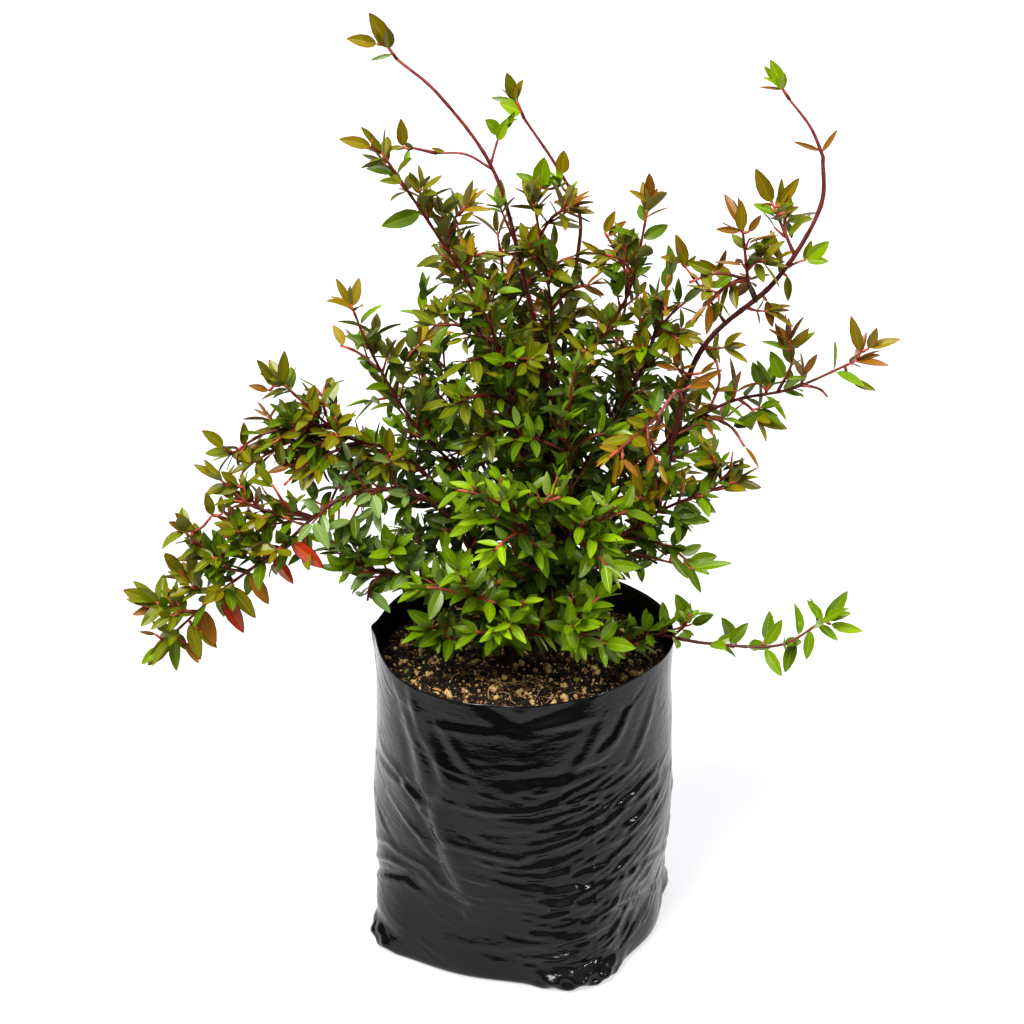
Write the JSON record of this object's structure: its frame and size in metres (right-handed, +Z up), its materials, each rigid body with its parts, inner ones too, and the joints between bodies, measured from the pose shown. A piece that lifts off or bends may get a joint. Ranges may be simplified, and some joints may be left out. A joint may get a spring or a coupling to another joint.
{
  "type": "potted abelia",
  "caption": "Young evergreen abelia shrub with long arching shoots, growing in a soft black polythene grow bag of potting soil.",
  "frame": {"origin": "the middle of the flat underside of the grow bag", "axes": "+Z up along the plant, +X to the right and +Y to the back as seen in the picture"},
  "size_m": [0.4789, 0.2231, 0.5982],
  "materials": {
    "bag": "satin black film",
    "soil": "matt and crumbly",
    "bark": "smooth, dark red-brown",
    "leaves_dark": "glossy dark green",
    "leaves_bright": "glossy yellow-green",
    "leaves_bronze": "glossy, bronze and olive"
  },
  "bodies": {
    "root": {"grow_bag": "bag", "potting_soil": "soil", "main_stem": "bark", "left_stem": "bark", "bough_right_sweep": "bark", "bough_right_sweep_upper": "bark", "bough_right_sweep_side": "bark", "bough_left_tall": "bark", "bough_left_tall_side": "bark", "bough_top_middle": "bark", "bough_top_inner": "bark", "bough_mid_right": "bark", "bough_lower_right": "bark", "bough_low_right": "bark", "bough_low_left": "bark", "bough_left": "bark", "bough_left_upper": "bark", "bough_upper_left": "bark", "bough_inner_left": "bark", "bough_upright_right": "bark", "bough_upper_right": "bark", "bough_front_right": "bark", "bough_front": "bark", "bough_back_left": "bark", "bough_back_right": "bark", "bough_back": "bark", "bough_back_top": "bark", "foliage_right_tip": "leaves_bronze", "foliage_right_middle": "leaves_bronze", "foliage_right_outer": "leaves_bronze", "foliage_left_tall_tip": "leaves_bronze", "foliage_left_tall_side": "leaves_bronze", "foliage_top_middle_tip": "leaves_bronze", "foliage_top_inner": "leaves_bronze", "foliage_mid_right": "leaves_dark", "foliage_lower_right": "leaves_dark", "foliage_low_right": "leaves_bright", "foliage_low_left": "leaves_bronze", "foliage_left": "leaves_bronze", "foliage_left_upper": "leaves_dark", "foliage_upper_left": "leaves_dark", "foliage_inner_left": "leaves_dark", "foliage_upright_right": "leaves_bronze", "foliage_upper_right": "leaves_dark", "foliage_front_right": "leaves_bronze", "foliage_front": "leaves_bright", "foliage_back_left": "leaves_dark", "foliage_back_right": "leaves_dark", "foliage_back": "leaves_dark", "foliage_back_top": "leaves_dark", "foliage_front_low_left": "leaves_bright", "foliage_front_low_middle": "leaves_bright", "foliage_front_low_right": "leaves_bright", "foliage_front_middle_right": "leaves_bright", "foliage_left_skirt": "leaves_dark", "foliage_left_low": "leaves_dark", "foliage_centre_front": "leaves_dark", "foliage_back_low_left": "leaves_dark", "foliage_back_low_right": "leaves_dark"}
  },
  "joints": []
}
